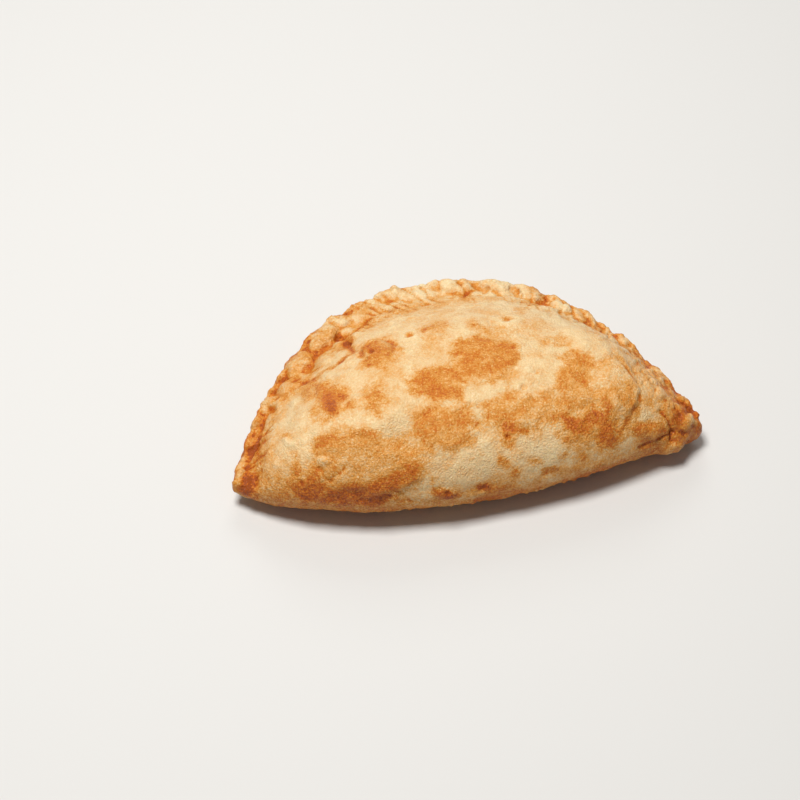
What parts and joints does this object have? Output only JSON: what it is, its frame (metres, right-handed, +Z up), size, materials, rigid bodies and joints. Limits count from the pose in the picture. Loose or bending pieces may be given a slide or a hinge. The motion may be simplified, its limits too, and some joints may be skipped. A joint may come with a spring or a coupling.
{
  "type": "fried empanada",
  "caption": "Half-moon pasty of thin fried dough, plump over its filling, rounded along the fold and sealed along the curved side with a hand-twisted rope edge.",
  "frame": {"origin": "on the surface the empanada rests on, under the middle of its bounding box", "axes": "+X along the folded side from tip to tip, +Y from the folded side to the sealed rope edge, +Z up"},
  "size_m": [0.164, 0.0988, 0.0364],
  "materials": {
    "fried_dough": "fried wheat dough: pale cream to golden, blistered and patchy, browner on the blisters and the rope edge, with a soft satin of frying fat"
  },
  "bodies": {
    "root": {"empanada": "fried_dough"}
  },
  "joints": []
}
